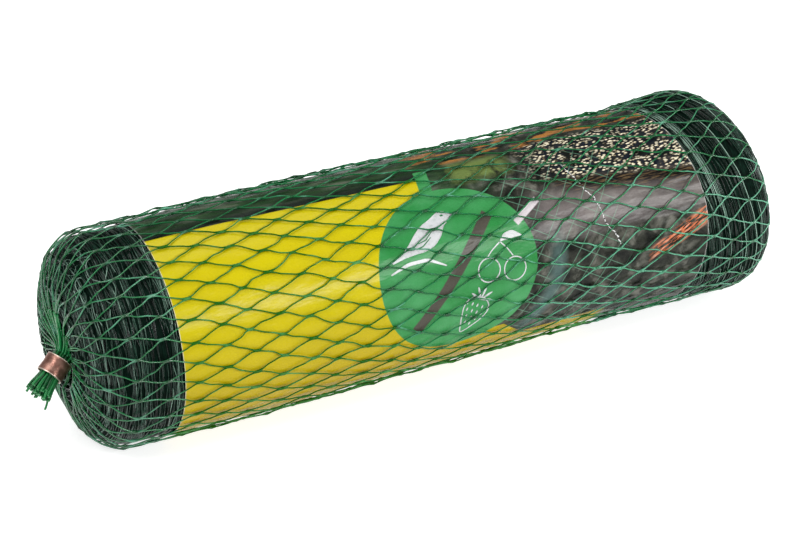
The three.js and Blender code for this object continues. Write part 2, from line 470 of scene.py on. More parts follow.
def make_camera():
    back = Vector((
        math.sin(VIEW_AZIMUTH) * math.cos(VIEW_ELEVATION),
        -math.cos(VIEW_AZIMUTH) * math.cos(VIEW_ELEVATION),
        math.sin(VIEW_ELEVATION),
    ))
    camera = bpy.data.objects.new("camera", bpy.data.cameras.new("camera"))
    camera.data.lens = VIEW_LENS
    camera.location = VIEW_TARGET + back * VIEW_DISTANCE
    camera.rotation_mode = "QUATERNION"
    camera.rotation_quaternion = (-back).to_track_quat("-Z", "Y")
    bpy.context.scene.collection.objects.link(camera)
    bpy.context.scene.camera = camera


def area_light(name, place, aim, size, power):
    light = bpy.data.lights.new(name, "AREA")
    light.shape = "RECTANGLE"
    light.size, light.size_y = size
    light.energy = power
    lamp = bpy.data.objects.new(name, light)
    lamp.location = place
    lamp.rotation_mode = "QUATERNION"
    lamp.rotation_quaternion = (Vector(aim) - Vector(place)).to_track_quat("-Z", "Y")
    bpy.context.scene.collection.objects.link(lamp)


def make_studio():
    scene = bpy.context.scene
    scene.view_settings.view_transform = "Standard"
    world = bpy.data.worlds.new("studio")
    world.use_nodes = True
    world.node_tree.nodes["Background"].inputs["Color"].default_value = (1, 1, 1, 1)
    world.node_tree.nodes["Background"].inputs["Strength"].default_value = 0.30
    scene.world = world
    area_light("overhead", (-0.1, 0.25, 1.3), (0, 0, 0), (1.3, 0.9), 9)
    area_light("key", (-0.9, -0.5, 1.1), (0, 0, 0.05), (0.5, 0.5), 7)
    area_light("front", (0.62, -1.15, 0.66), (0, 0, 0.05), (0.9, 0.13), 13)
    area_light("side", (1.35, -0.45, 0.75), (0.15, 0, 0.05), (0.4, 0.5), 6)
    paint = Paint("floor_white", Roughness=0.9, Emission_Color=(1, 1, 1, 1), Emission_Strength=0.72)
    grain = paint.noise(paint.place(), 0.02, 2.0)
    colour = paint.mix(grain, (0.60, 0.60, 0.60), (0.63, 0.63, 0.63))
    corners = FLOOR_REACH * np.array([(-1, -1, 0), (1, -1, 0), (1, 1, 0), (-1, 1, 0)])
    floor = make_object("floor", corners, [np.array([[0, 1, 2, 3]])], paint.finish(colour))


# ---- Wound net --------------------------------------------------------------------------------------

def wound_top(x):
    """How far the loose threads lie below the pack's outer form at x."""
    return WOUND_INSET - 0.8 * smooth(140, 155, x) - 0.5 * smooth(-145, -158, x)


def wound_layers(material):
    """The roll under the label, with the ribs of its layers on both rounded ends."""
    rows = 640
    columns = 360
    along = np.linspace(0, ALONG[-1], rows)[:, None]
    angle = np.linspace(-math.pi, math.pi, columns + 1)[:-1][None]
    x = np.interp(along, ALONG, LINE[:, 0])
    r = np.interp(along, ALONG, LINE[:, 1])
    open_end = np.maximum(smooth(-128, -134, x), smooth(118, 124, x))
    lumps = 0.35 * ripple(along, 9 * angle, 5, 9, 26) * open_end
    spiral = np.sin(2 * math.pi * (r / 6.1 + angle / (2 * math.pi)))
    on_face = smooth(0.55, 0.95, np.abs(np.interp(along, ALONG, NORMALS[:, 0])))
    ribs = 0.35 * np.sin(along * 2 * math.pi / 1.3 + 3 * ripple(along, 9 * angle, 6, 6, 14))
    # The roll's open eye leaves room for the neck's strands to turn.
    hollow = 5.6 * smooth(17, 8.5, r)
    inset = wound_top(x) + 0.8 - 0.1 * open_end + lumps - 0.6 * spiral * on_face
    inset = inset + ribs * open_end * smooth(4, 12, r) + hollow
    points = surface(along, angle, inset).reshape(-1, 3)
    values = {"along": np.broadcast_to(along, inset.shape), "turn": np.broadcast_to(angle, inset.shape)}
    piece = make_object("wound_layers", points, [sheet_faces(rows, columns, wrap=True)], material, values)
    close_holes(piece)
    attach(piece, "pack")
    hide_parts("wound_net")


def close_holes(piece):
    """Closes the small round holes at both ends of a turned mesh."""
    work = bmesh.new()
    work.from_mesh(piece.data)
    rims = [edge for edge in work.edges if edge.is_boundary]
    bmesh.ops.holes_fill(work, edges=rims, sides=0)
    bmesh.ops.recalc_face_normals(work, faces=work.faces)
    work.to_mesh(piece.data)
    work.free()


def thread_paths(count, middle_range, sweep_range, wave, drift, depth, seed, band_light_and_shade=0.30, slant=0):
    """Loose threads that run part of the way round the roll, dipping into it at their ends."""
    source = np.random.default_rng(seed)
    middle = source.uniform(*middle_range, (count, 1))
    start = source.uniform(-math.pi, math.pi, (count, 1))
    sweep = source.uniform(*sweep_range, (count, 1))
    share = np.linspace(0, 1, THREAD_POINTS)[None]
    angle = start + sweep * share
    lean = (slant + source.normal(0, drift, (count, 1))) * (share - 0.5)
    waver = wave * ripple(angle * 9 + source.uniform(0, 900, (count, 1)), middle, seed + 1, 6, 7)
    crowd = 0.9 * wave * ripple(angle * 14, middle * 2.2, seed + 2, 6, 30)
    along = middle + lean + waver + crowd
    tuck = 1.3 * (bump(share, 0, 0.05) + bump(share, 1, 0.05))
    x = np.interp(along, ALONG, LINE[:, 0])
    past_start = smooth(LABEL_START - 0.5, LABEL_START + 1.5, x)
    covered = past_start * smooth(label_end(angle) + 1, label_end(angle) - 2, x)
    waves = 0.22 * ripple(angle * 16, middle, seed + 3, 5, 9)
    inset = wound_top(x) + source.uniform(0, depth, (count, 1)) + tuck + waves + 1.5 * covered
    # Painted light and shade: tone rises and falls in bands across the threads, on top of its random spread.
    tone = 0.42 + band_light_and_shade * ripple(middle, 0 * middle, seed + 4, 7, 5)
    tone = tone + source.normal(0, 0.26, (count, 1))
    return surface(along, angle, inset), np.clip(tone, 0, 1)


def tangle_paths(count, middle_range, angle_range, radius_range, seed):
    """Small stray loops of thread that lie on the end of the roll."""
    source = np.random.default_rng(seed)
    middle = source.uniform(*middle_range, (count, 1))
    turn = source.uniform(*angle_range, (count, 1))
    radius = source.uniform(*radius_range, (count, 1))
    share = np.linspace(0, 1, THREAD_POINTS)[None]
    sweep = source.uniform(2.2, 5.2, (count, 1)) * share + source.uniform(0, 2 * math.pi, (count, 1))
    squeeze = source.uniform(0.2, 0.8, (count, 1))
    along = middle + radius * np.cos(sweep) * squeeze + 0.8 * ripple(sweep * 2, middle, seed + 1, 5, 4)
    radius_here = np.maximum(np.interp(along, ALONG, LINE[:, 1]), 12)
    angle = turn + radius * np.sin(sweep) / radius_here
    tuck = 1.4 * (bump(share, 0, 0.08) + bump(share, 1, 0.08))
    inset = 1.35 + source.uniform(0, 0.8, (count, 1)) + tuck
    inset = inset + 0.25 * ripple(sweep * 3, middle, seed + 2, 5, 5)
    return surface(along, angle, inset), source.uniform(0.5, 0.95, (count, 1))


def wound_threads(material):
    front_edge = along_at(-128)
    rear_edge = along_at(112)
    front_face = np.interp(13, LINE[END_FACE, 1], ALONG[END_FACE])
    rear_face = ALONG[-1] - front_face
    batches = [
        ("wound_threads_front", [
            thread_paths(330, (front_face + 20, front_edge), (1.2, 3.2), 0.75, 2.8, 0.8, 11),
            thread_paths(150, (front_face, front_face + 26), (1.0, 2.6), 1.1, 5.0, 0.8, 12),
            tangle_paths(110, (front_face + 4, front_face + 44), (0.8, 3.6), (2.5, 8), 13),
            tangle_paths(30, (front_face, front_face + 40), (-2.6, 1.0), (2.0, 6), 14),
        ]),
        ("wound_threads_rear", [
            thread_paths(400, (rear_edge, rear_face - 18), (1.4, 3.6), 0.20, 2.4, 0.8, 21, 0.38, -14),
            thread_paths(150, (rear_face - 22, rear_face), (1.0, 2.6), 0.7, 3.0, 0.8, 22, 0.40),
            tangle_paths(60, (rear_face - 40, rear_face), (-3.1, 3.1), (2.5, 7), 23),
        ]),
    ]
    for name, made in batches:
        paths = np.vstack([points for points, tone in made])
        tone = np.vstack([tone for points, tone in made])
        piece = tubes(name, paths, THREAD_RADIUS, material, 4, {"tone": tone})
        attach(piece, "pack")
        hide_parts("wound_net")


# ---- Label ------------------------------------------------------------------------------------------

LABEL_FILM = 0.2
LABEL_LAP = (math.radians(-98), math.radians(274))
LABEL_RADIUS = 48.7             # turns an angle round the roll into a length across the label
DISC = (4.6, 17.2, 40.0)        # along, round and radius of the printed disc
# Edges of the yellow panel, which steps out twice below the disc, the first time to a slanted end.
YELLOW_END = 0.5
YELLOW_LOW = -18
YELLOW_LOW_END = (-1.14, 7.8)   # slope and start
YELLOW_LOWEST = -29
YELLOW_LOWEST_END = 84


def on_label(x, round_mm, lift):
    """Points on the label from its own flat coordinates, lifted off it."""
    angle = round_mm / LABEL_RADIUS
    return surface(along_at(x), angle, LABEL_INSET - lift + label_relief(x, round_mm))


def label_relief(x, round_mm):
    """How far the film sinks into the soft roll, in creases that lean along it."""
    broad = 0.22 * (1 + ripple(x, 2.2 * round_mm, 41, 8, 90))
    fine = 0.10 * (1 + ripple(x * 0.5, round_mm * 1.4, 42, 8, 16))
    gathered = 0.25 * smooth(70, 130, x) * (1 + ripple(x, 3.5 * round_mm, 43, 8, 34))
    return broad + fine + gathered


def label_end(angle):
    """The rear edge of the label, which is cut straight but lies skewed on the roll."""
    return 126 + 5.0 * np.sin(angle) + 6.6 * np.cos(angle)


def label_material():
    """Gloss film print. Its flat coordinates are millimetres along and round the roll."""
    paint = Paint("label_print", IOR=1.5, Specular_IOR_Level=0.14)
    x = paint.attribute("along")
    y = paint.attribute("round")
    flat = paint.flat_place(x, y)
    broad = paint.noise(flat, 0.045, 3.0)
    blotch = paint.noise(flat, 0.11, 4.0, 0.6, 0.4)
    streak = paint.noise(paint.flat_place(paint.math("MULTIPLY", x, 0.25), y), 0.16, 4.0)

    def within(value, low, high, softness):
        return paint.both(paint.step(value, low, softness), paint.step(value, high, -softness))

    def turned(along, across):
        """The flat coordinate that grows towards (along, across)."""
        return paint.math("ADD", paint.math("MULTIPLY", x, along), paint.math("MULTIPLY", y, across))

    # Blurred backdrop print: dusky green-grey on the left and brown greys on the right, with a painted
    # mauve-grey reflection band over the right.
    dusk = paint.ramp(streak, [(0.34, (0.005, 0.022, 0.006)), (0.52, (0.022, 0.052, 0.020)),
                               (0.72, (0.12, 0.135, 0.10))])
    stone = paint.ramp(blotch, [(0.36, (0.003, 0.004, 0.0025)), (0.52, (0.024, 0.026, 0.019)),
                                (0.68, (0.12, 0.12, 0.10))])
    backdrop = paint.mix(paint.step(x, 22, 34), dusk, stone)
    lime = paint.both(within(x, 16, 46, 9), within(y, 58, 71, 5))
    backdrop = paint.mix(paint.both(lime, paint.step(blotch, 0.42, 0.15)), backdrop, (0.11, 0.155, 0.040))
    # Painted reflection: a pale mauve-grey band of gloss round the roll on the right half, where the front
    # lamp's reflection lies, streaked by the noise.
    painted_reflection_band = paint.both(paint.step(x, 48, 14), within(y, 20, 43, 8))
    backdrop = paint.mix(paint.both(painted_reflection_band, paint.level(streak, 0.15, 0.95)), backdrop, (0.215, 0.185, 0.18))

    # Speckled plumage-like texture, high on the right, with a dark streaked edge below it.
    leaning = paint.flat_place(turned(0.42, 0.16), turned(-0.10, 1.0))
    cells = paint.node("TexVoronoi", {"Vector": leaning, "Scale": 0.98}).outputs["Distance"]
    speckle = paint.ramp(cells, [(0.30, (0.72, 0.66, 0.50)), (0.40, (0.20, 0.15, 0.07)),
                                 (0.50, (0.006, 0.009, 0.015))])
    lower = paint.math("MULTIPLY_ADD", x, -0.14, 58.0)
    wings = paint.both(paint.step(x, 58, 14), paint.both(paint.step(y, lower, 3), paint.step(y, 73, -3)))
    below = paint.both(paint.step(y, paint.math("SUBTRACT", lower, 8.0), 7), paint.step(y, lower, -3))
    dark_edge = paint.both(paint.step(x, 66, 14), below)
    hairs = paint.noise(paint.flat_place(paint.math("MULTIPLY", turned(1.0, 0.25), 0.12), y), 1.4, 2.0)
    brown = paint.ramp(hairs, [(0.48, (0.006, 0.005, 0.005)), (0.64, (0.10, 0.065, 0.03))])
    backdrop = paint.mix(dark_edge, backdrop, brown)
    backdrop = paint.mix(paint.both(wings, paint.step(blotch, 0.41, 0.16)), backdrop, speckle)

    # Warm twig-like streaks low on the right, and from the top down over the back.
    lengthwise = paint.math("MULTIPLY", turned(0.893, 0.446), 0.16)
    twig = paint.noise(paint.flat_place(lengthwise, turned(-0.446, 0.893)), 0.75, 3.0, 0.6)
    twigs_here = paint.both(within(turned(-0.446, 0.893), -50.0, -43.0, 2), within(x, 106, 139, 5))
    orange = paint.ramp(twig, [(0.55, (0.52, 0.135, 0.050)), (0.70, (0.68, 0.42, 0.32))])
    backdrop = paint.mix(paint.both(twigs_here, paint.step(twig, 0.50, 0.05)), backdrop, orange)
    top_here = paint.both(paint.step(y, 73, 3), paint.step(x, 5, 10))
    backdrop = paint.mix(paint.both(top_here, paint.step(streak, 0.55, 0.04)), backdrop, (0.36, 0.15, 0.035))

    # A faint printed lattice over the right half.
    lattice = [paint.math("PINGPONG", turned(a, b), 5.5) for a, b in ((0.62, 1.0), (0.95, -0.72))]
    lines = paint.math("MAXIMUM", *[paint.step(wave, 0.22, -0.2) for wave in lattice])
    lines_here = paint.both(within(x, 32, 92, 8), paint.step(y, 62, -8))
    backdrop = paint.mix(paint.both(paint.both(lines, lines_here), 0.42), backdrop, (0.16, 0.36, 0.24))

    # Yellow panel, which runs on below the disc and turns warmer there, with painted shade that darkens it
    # towards the underside.
    yellow_with_painted_shade = paint.mix(paint.step(y, -4, 50), (0.35, 0.245, 0.003), (0.475, 0.405, 0.002))
    yellow = paint.mix(paint.both(paint.step(broad, 0.5, 0.3), 0.25), yellow_with_painted_shade, (0.48, 0.36, 0.008))
    top = paint.math("MULTIPLY_ADD", x, -0.0215, 65.4)
    panel = paint.both(paint.step(x, YELLOW_END, -0.5), paint.step(y, top, -0.5))
    cut_end = paint.math("MULTIPLY_ADD", y, *YELLOW_LOW_END)
    below_disc = paint.both(paint.step(y, YELLOW_LOW, -0.5), paint.step(x, cut_end, -0.5))
    lowest = paint.both(paint.step(y, YELLOW_LOWEST, -0.5), paint.step(x, YELLOW_LOWEST_END, -6))
    panel = paint.math("MAXIMUM", panel, paint.math("MAXIMUM", below_disc, lowest))
    above = paint.both(paint.step(y, top, 0.5), paint.step(y, paint.math("ADD", top, 5.5), -6))
    backdrop = paint.mix(paint.both(above, paint.step(x, 8, -6)), backdrop, (0.006, 0.011, 0.007))
    art = paint.mix(panel, backdrop, yellow)

    # Green disc with a plain stem, and a grey bar across it.
    dx = paint.math("SUBTRACT", x, DISC[0])
    dy = paint.math("SUBTRACT", y, DISC[1])
    away = paint.math("SQRT", paint.math("ADD", paint.both(dx, dx), paint.both(dy, dy)))
    disc = paint.step(away, DISC[2], -0.4)
    bent = paint.math("MULTIPLY_ADD", y, 0.24, -12.2)
    off_stem = paint.math("ABSOLUTE", paint.math("SUBTRACT", x, bent))
    stem = paint.both(paint.step(off_stem, 3.2, -0.5), within(y, 48, 71, 0.6))
    green = paint.mix(paint.step(broad, 0.52, 0.35), (0.020, 0.190, 0.042), (0.058, 0.265, 0.095))
    art = paint.mix(paint.math("MAXIMUM", disc, stem), art, green)
    bar = paint.both(within(turned(-0.730, 0.683), 6.2, 11.6, 0.4),
                     within(turned(0.683, 0.730), -18, 46, 0.5))
    art = paint.mix(bar, art, (0.062, 0.056, 0.044))
    light_bar = paint.both(within(turned(-0.52, 0.854), 6.3, 9.5, 0.4),
                           within(turned(0.854, 0.52), 48.6, 65, 0.5))
    art = paint.mix(light_bar, art, (0.55, 0.50, 0.52))

    # Arc of film-blue beside the disc, worn crease, and the paper-white cut edges.
    arc = paint.both(paint.step(away, 48, 5), paint.step(away, 55, -4))
    arc_here = paint.both(paint.both(arc, paint.step(x, 38, 10)), paint.step(y, 20, -16))
    art = paint.mix(paint.both(arc_here, 0.6), art, (0.085, 0.155, 0.145))
    crease_at = paint.math("MULTIPLY_ADD", y, -0.40, 92.5)
    crease_at = paint.math("ADD", crease_at, paint.level(paint.noise(flat, 0.11, 2.0), -5, 5))
    crease = paint.both(paint.step(paint.math("ABSOLUTE", paint.math("SUBTRACT", x, crease_at)), 0.28, -0.25),
                        within(y, 9, 55, 3))
    dashes = paint.ramp(paint.noise(flat, 0.9, 1.0),
                        [(0.44, (0.006, 0.006, 0.007)), (0.52, (0.70, 0.70, 0.70))])
    art = paint.mix(crease, art, dashes)
    worn = paint.level(paint.noise(flat, 0.08, 2.0), 0.1, 0.9)
    art = paint.mix(paint.both(paint.attribute("edge"), worn), art, (0.72, 0.72, 0.68))

    roughness = paint.level(paint.noise(flat, 0.3, 3.0), 0.22, 0.33)
    creases = paint.noise(paint.flat_place(paint.math("MULTIPLY", x, 0.45), y), 0.12, 3.0)
    return paint.finish(art, roughness, creases, 0.5, 0.0012)


def make_label(material):
    """A closed thin film, wrapped once round the roll and lapped over its own start on the underside."""
    inner = np.linspace(0.0045, 0.9955, 230)
    share = np.concatenate([[0, 0.0007, 0.0014], inner, [0.9986, 0.9993, 1]])[:, None]
    rows = len(share)
    columns = 260
    angle = np.linspace(*LABEL_LAP, columns)[None]
    x = LABEL_START + share * (label_end(angle) - LABEL_START)
    round_mm = angle * LABEL_RADIUS + 0 * x
    lap = 0.32 * smooth(LABEL_LAP[1] - 0.30, LABEL_LAP[1] - 0.22, angle)
    outside = on_label(x, round_mm, lap)
    inside = on_label(x, round_mm, lap - LABEL_FILM)
    points = np.vstack([outside.reshape(-1, 3), inside.reshape(-1, 3)])
    near_edge = 1 - smooth(0.15, 0.3, np.minimum(x - LABEL_START, label_end(angle) - x))
    values = {
        "along": np.tile(x.ravel(), 2),
        "round": np.tile(round_mm.ravel(), 2),
        "edge": np.append(near_edge.ravel(), np.ones(x.size)),
    }
    label = make_object("label_film", points, [film_faces(rows, columns)], material, values)
    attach(label, "pack")
    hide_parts("label_wrap")


# Plain pictograms in the label's flat millimetres. A line is the points of its middle, each with a width.
def turned_points(middle, degrees, points):
    """Rows of (along, round, width), turned about their own zero and moved to middle."""
    cosine = math.cos(math.radians(degrees))
    sine = math.sin(math.radians(degrees))
    return [(middle[0] + cosine * x - sine * y, middle[1] + sine * x + cosine * y, width)
            for x, y, width in points]


def cherry(x, y, stem_to):
    turns = np.linspace(0.4, 0.4 + 2 * math.pi, 25)
    fruit = [(x + 5.6 * math.cos(a), y + 5.6 * math.sin(a), 0.6) for a in turns]
    halfway = (0.6 * x + 0.4 * stem_to[0], 0.5 * (y + 5.9 + stem_to[1]), 0.6)
    return [fruit, [(x, y + 5.9, 0.5), halfway, (*stem_to, 0.6)]]


def berry(middle, lean):
    """A strawberry: a rounded outline that narrows downwards, a crown of five leaves and rows of seeds."""
    turns = np.linspace(0, 2 * math.pi, 33)
    fruit = [(9.4 * math.sin(a) * (0.62 - 0.38 * math.cos(a)), -9.8 * math.cos(a), 0.6) for a in turns]
    crown = []
    for a in np.radians([-80, -40, 0, 40, 80]):
        widest = (4.6 * math.sin(a), 8.9 + 4.6 * math.cos(a), 1.1)
        tip = (6.4 * math.sin(a), 8.9 + 6.4 * math.cos(a), 0.3)
        crown.append([(0, 8.6, 0.7), widest, tip])
    seeds = []
    for row, y in enumerate((5.4, 2.2, -1.0, -4.2)):
        indent = row % 2 * 0.5
        for x in np.arange(-2 + indent, 2.1 - indent) * 2.9:
            if abs(x) < 6.4 - 0.35 * (5.4 - y):
                seeds.append([(x, y + 0.9, 0.35), (x, y, 0.9), (x, y - 0.9, 0.35)])
    return [turned_points(middle, lean, line) for line in (fruit, *crown, *seeds)]


BIRD = [
    (-27.5, 27.4, 1.2), (-21.0, 29.4, 2.4), (-16.4, 31.2, 5.2), (-12.0, 33.0, 8.8), (-7.4, 35.4, 10.8),
    (-3.6, 38.0, 9.8), (-0.8, 40.4, 7.4), (1.4, 42.0, 6.6), (3.6, 42.8, 6.2), (5.4, 43.0, 4.2),
    (6.2, 43.0, 1.6), (9.2, 42.6, 0.4),
]
BRANCH = [(-29.6, 22.4, 0.6), (-20.0, 25.4, 1.6), (-10.0, 25.4, 1.6), (-1.0, 20.6, 0.6)]
LEAF = [(27.0, 25.6, 0.4), (30.4, 27.2, 3.4), (34.0, 27.6, 3.8), (38.6, 26.0, 0.3)]
LINES = [BIRD, BRANCH, LEAF, *cherry(19.2, 13.8, (27.0, 25.4)), *cherry(32.4, 11.6, (27.0, 25.4)),
         *berry((9.6, -6.6), -30)]
FEATHERS = [
    [(-17.4, 31.0, 0.3), (-11.0, 31.4, 0.6), (-5.4, 35.0, 0.3)],
    [(-13.0, 33.2, 0.3), (-8.6, 34.0, 0.6), (-4.6, 37.2, 0.3)],
    [(2.2, 43.4, 0.5), (3.0, 43.6, 1.0), (3.8, 43.4, 0.5)],
]


def line_edges(line):
    """The two edges of a line, eased round its corners."""
    line = np.array(line)
    run = np.append(0, np.cumsum(np.linalg.norm(np.diff(line[:, :2], axis=0), axis=1)))
    even = np.linspace(0, run[-1], max(int(run[-1] / 0.6), 5))
    reach = 0.2 * run[-1] / len(line)
    x, y, width = [np.mean([np.interp(even + shift, run, line[:, i]) for shift in (-reach, 0, reach)], 0)
                   for i in range(3)]
    tangent = unit(np.stack([np.gradient(x), np.gradient(y)], 1))
    across = np.stack([-tangent[:, 1], tangent[:, 0]], 1) * width[:, None] / 2
    middle = np.stack([x, y], 1)
    return middle + across, middle - across


def ink_material():
    """Opaque white print, a little thin in places."""
    paint = Paint("label_white_ink", IOR=1.5, Specular_IOR_Level=0.35, Roughness=0.3)
    thin = paint.noise(paint.place(), 0.5, 3.0)
    return paint.finish(paint.ramp(thin, [(0.3, (0.38, 0.41, 0.40)), (0.5, (0.50, 0.51, 0.52))]))


def feather_material():
    """Dark green print for the bird's wing."""
    paint = Paint("label_green_ink", IOR=1.5, Specular_IOR_Level=0.35, Roughness=0.3)
    thin = paint.noise(paint.place(), 0.5, 3.0)
    return paint.finish(paint.ramp(thin, [(0.3, (0.010, 0.11, 0.03)), (0.6, (0.02, 0.16, 0.05))]))


def make_pictograms(ink, green):
    """Thin closed patches of print that follow the label."""
    white = [line_edges(line) for line in LINES]
    pictograms("label_pictograms", white, 0.10, ink)
    pictograms("label_pictogram_feathers", [line_edges(line) for line in FEATHERS], 0.14, green)


def pictograms(name, shapes, lift, material):
    points = []
    faces = []
    start = 0
    share = np.linspace(0, 1, 13)[None, :, None]
    for first, second in shapes:
        flat = first[:, None] * (1 - share) + second[:, None] * share
        rows, columns = flat.shape[:2]
        top = on_label(flat[..., 0], flat[..., 1], lift).reshape(-1, 3)
        bottom = on_label(flat[..., 0], flat[..., 1], lift - 0.18).reshape(-1, 3)
        faces.append(film_faces(rows, columns) + start)
        points += [top, bottom]
        start += 2 * rows * columns
    piece = make_object(name, np.vstack(points), faces, material)
    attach(piece, "pack")
    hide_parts("label_wrap")


# ---- Sleeve net -------------------------------------------------------------------------------------

def knot_spacing(x):
    """Distance along the roll from one knot to the next: the net is drawn out on its front half."""
    return np.interp(x, [-172, -150, -135, 45, 160, 172], [13.5, 14.6, 13.4, 13.4, 10.3, 10.3])


def net_count():
    """Number of knots passed, for every point of the outline."""
    steps = np.append(0, np.cumsum(np.diff(ALONG) / knot_spacing((LINE[1:, 0] + LINE[:-1, 0]) / 2)))
    return steps - np.interp(along_at(KNOT_COLUMN), ALONG, steps)


COUNT = net_count()


def net_twist(x):
    """Angle that the whole net has turned by at x, because the bag was twisted as it was filled."""
    bends = np.array([-172, -140, -126, -43, 75, 172])
    slopes = np.radians([0, 0.12, -0.037, -0.037, 0.095, 0.095])
    step = 0.5
    grid = np.arange(bends[0], bends[-1] + step, step)
    turned = np.cumsum(np.interp(grid, bends, slopes)) * step
    turned -= np.interp(KNOT_COLUMN, grid, turned)
    return np.interp(x, grid, turned)


def clump_table(bounds, middles):
    return list(zip(bounds[:-1], bounds[1:], middles))


# Where strands draw together at each end, in degrees round the roll: from, to, and their meeting angle.
FIRST_CLUMP = -95
FRONT_CLUMPS = clump_table(
    [FIRST_CLUMP, -74, -50, -27, -10, 5, 20, 36, 52, 72, 106],
    [-84, -50, -33, -17, -2, 13, 29, 45, 62, 90],
)
REAR_CLUMPS = clump_table(
    [FIRST_CLUMP, -70, -52, -30, -8, 12, 35, 60, 80, 100, 128, 150, 176, 200, 222, 240, 265],
    [-82, -60, -42, -18, 2, 22, 48, 70, 91, 114, 140, 162, 190, 210, 232, 252],
)


def clump_degrees(angle):
    """Degrees round the roll, counted on from where the first clump starts."""
    return np.degrees((angle - math.radians(FIRST_CLUMP)) % (2 * math.pi)) + FIRST_CLUMP


def gathered(angle, radius, clumps):
    """Draws strands together towards the neck. Returns the angles and how far each point is gathered."""
    column = np.argmin(np.abs(radius - 24))
    reference = angle[:, column]
    target = reference.copy()
    drawn = np.zeros((len(angle), 1))
    wrapped = clump_degrees(reference)
    for low, high, middle in clumps:
        members = np.nonzero((wrapped >= low) & (wrapped < high))[0]
        members = members[np.argsort(wrapped[members])]
        drawn[members] = 1
        side_by_side = (np.arange(len(members)) - (len(members) - 1) / 2) * 1.9
        turned_by = np.radians(middle + side_by_side) - np.radians(wrapped[members])
        target[members] = turned_by + reference[members]
    share = smooth(33, GATHER_RADIUS - 0.5, radius)[None]
    return angle + (target[:, None] - angle) * share * drawn, share


def sleeve_paths():
    """Paths of all strands over the roll, from the front gather to the rear one, one row each."""
    front_stop = np.interp(GATHER_RADIUS, LINE[END_FACE, 1], ALONG[END_FACE])
    rear_stop = ALONG[-1] - np.interp(GATHER_RADIUS, LINE[::-1][END_FACE, 1], ALONG[END_FACE])
    first = np.interp(front_stop, ALONG, COUNT)
    last = np.interp(rear_stop, ALONG, COUNT)
    count = np.linspace(first, last, round((last - first) * STEPS_PER_CELL))[None]
    along = np.interp(count, COUNT, ALONG)
    x = np.interp(along, ALONG, LINE[:, 0])
    radius = np.interp(along, ALONG, LINE[:, 1])
    hand = np.repeat([1, -1], CELLS)[:, None]
    index = np.tile(np.arange(CELLS), 2)[:, None]
    phase = 2 * math.pi * count
    pulled = count - (KNOT_PULL[0] * np.sin(phase) + KNOT_PULL[1] * np.sin(2 * phase) / 2) / (2 * math.pi)
    even = 2 * HALF_CELL * index + hand * HALF_CELL * pulled + net_twist(x)
    stretch = np.interp(x, [-40, 70], [0.12, 0.25])
    angle = even + stretch * np.sin(even)
    # Uneven cells: the same wander for both hands keeps the knots together.
    loose = smooth(20, 46, radius)
    wander = 0.014 * ripple(x, 60 * np.sin(angle), 51, 8, 46)
    wander = wander + 0.008 * ripple(x, 55 * np.cos(angle + 1), 56, 8, 20)
    angle = angle + wander * loose
    shift = 0.9 * ripple(x, 55 * np.cos(angle + 0.6), 52, 8, 60)
    shift = (shift + 0.5 * ripple(x, 50 * np.sin(angle + 0.3), 57, 8, 22)) * loose
    front = x[0] < 0
    angle_front, share_front = gathered(angle, np.where(front, radius[0], 99), FRONT_CLUMPS)
    angle_rear, share_rear = gathered(angle, np.where(front, 99, radius[0]), REAR_CLUMPS)
    angle = np.where(front[None], angle_front, angle_rear)
    share = np.maximum(share_front, share_rear)
    # The net stands a little off the roll where it isn't pressed on it.
    off = 0.25 * ripple(x * 1.2, 40 * angle, 53, 8, 30)
    crest = 0.50 * bump(wrap(angle - math.radians(116)), 0, 0.42)
    off = off + crest * (0.6 + 1.3 * ripple(x, 30 * angle, 54, 7, 26))
    under = bump(wrap(angle + math.radians(60)), 0, 0.30) * smooth(-158, -130, x)
    off = off + 0.55 * under * (0.8 + 0.8 * ripple(x, 22 * angle, 55, 6, 34))
    off = off + 0.6 * bump(x, -147, 16) * smooth(0.9, 1.9, angle % (2 * math.pi)) * loose
    off = off * (1 - 0.85 * smooth(118, 140, x))
    layer = 0.4 * np.sin(np.arange(2 * CELLS) * 2.4)[:, None] * share
    pressed = 1.0 * smooth(-160, -170, x) + 0.85 * smooth(130, 148, x)
    inset = STRAND_INSET + pressed - np.clip(off, -0.15, 2.6) * (1 - share) - layer
    return surface(along + shift, angle, inset), count, share, angle, x


def wrap(angle):
    return (angle + math.pi) % (2 * math.pi) - math.pi


def over_yellow(x, y):
    """1 over the label's yellow panel and 0 elsewhere, for places in the print's flat millimetres."""
    panel = smooth(YELLOW_END + 0.5, YELLOW_END - 0.5, x) * smooth(66, 64, y)
    slope, first = YELLOW_LOW_END
    below_disc = smooth(YELLOW_LOW + 1, YELLOW_LOW - 1, y) * smooth(1, 0, x - slope * y - first)
    lowest = smooth(YELLOW_LOWEST + 1, YELLOW_LOWEST - 1, y)
    lowest = lowest * smooth(YELLOW_LOWEST_END + 3, YELLOW_LOWEST_END - 3, x)
    lap = LABEL_RADIUS * (LABEL_LAP[1] - 2 * math.pi)
    disc = smooth(DISC[2] + 0.5, DISC[2] - 0.5, np.hypot(x - DISC[0], y - DISC[1]))
    return np.maximum(np.maximum(panel, below_disc), lowest) * (1 - disc) * smooth(lap - 1, lap + 1, y)


